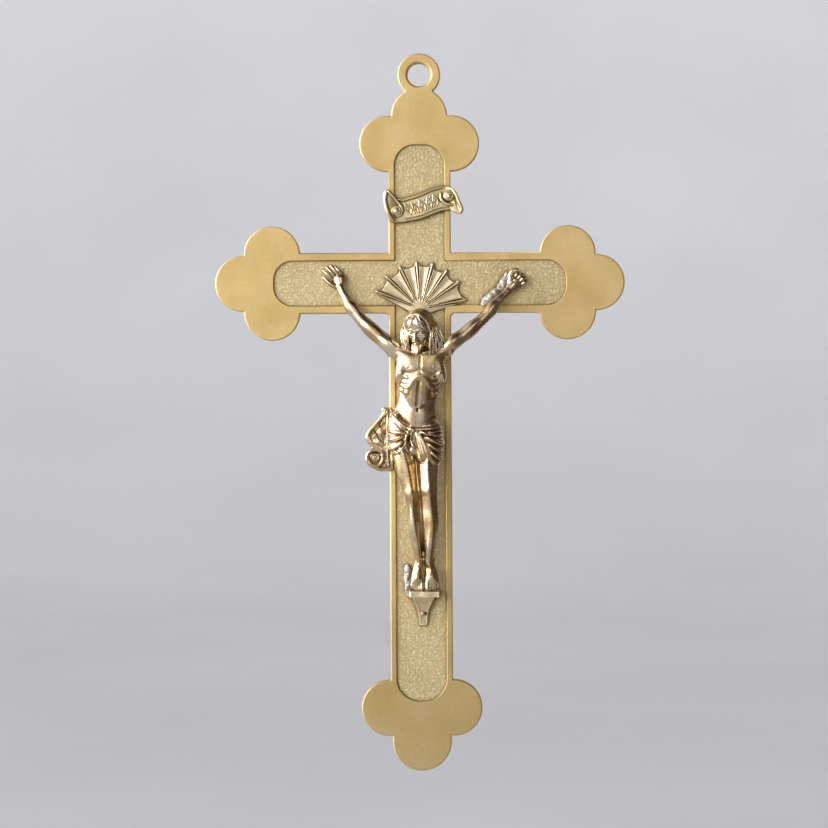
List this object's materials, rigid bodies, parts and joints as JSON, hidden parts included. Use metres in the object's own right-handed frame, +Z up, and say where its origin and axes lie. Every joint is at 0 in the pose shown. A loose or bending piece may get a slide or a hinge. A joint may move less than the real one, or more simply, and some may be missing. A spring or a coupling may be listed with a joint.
{
  "type": "hanging crucifix",
  "caption": "Flat brass cross with trefoil ends, a sunk stippled panel and a hanging eye, carrying a figure with a fan of rays, a title scroll and a foot rest.",
  "frame": {"origin": "centre of the hanging eye's hole, in the plane of the flat back", "axes": "+Z up along the upright towards the eye, +Y out of the back towards the wall, +X to the viewer's right as the front is seen"},
  "size_m": [0.1142, 0.0148, 0.2],
  "materials": {
    "plate_brass": "pale yellow brass, dull with age, finely stippled in the sunk panel",
    "ray_brass": "yellow brass, worn bright on the ridges",
    "figure_brass": "cast brass rubbed bright, brown in the hollows",
    "pin_brass": "drawn brass wire, peened ends",
    "solder": "dull grey soft solder"
  },
  "bodies": {
    "root": {"cross_plate": "plate_brass", "title_scroll": "plate_brass", "glory_rays": "ray_brass", "foot_ledge": "ray_brass", "foot_bracket": "ray_brass", "corpus_body": "figure_brass", "corpus_right_arm": "figure_brass", "corpus_left_arm": "figure_brass", "drape_tail": "figure_brass", "bracket_stud": "pin_brass", "right_hand_nail": "pin_brass", "left_hand_nail": "pin_brass", "right_foot_nail": "pin_brass", "left_foot_nail": "pin_brass", "title_pin_left": "pin_brass", "title_pin_right": "pin_brass", "solder_left_hand": "solder", "solder_left_forearm": "solder", "solder_feet": "solder"}
  },
  "joints": []
}
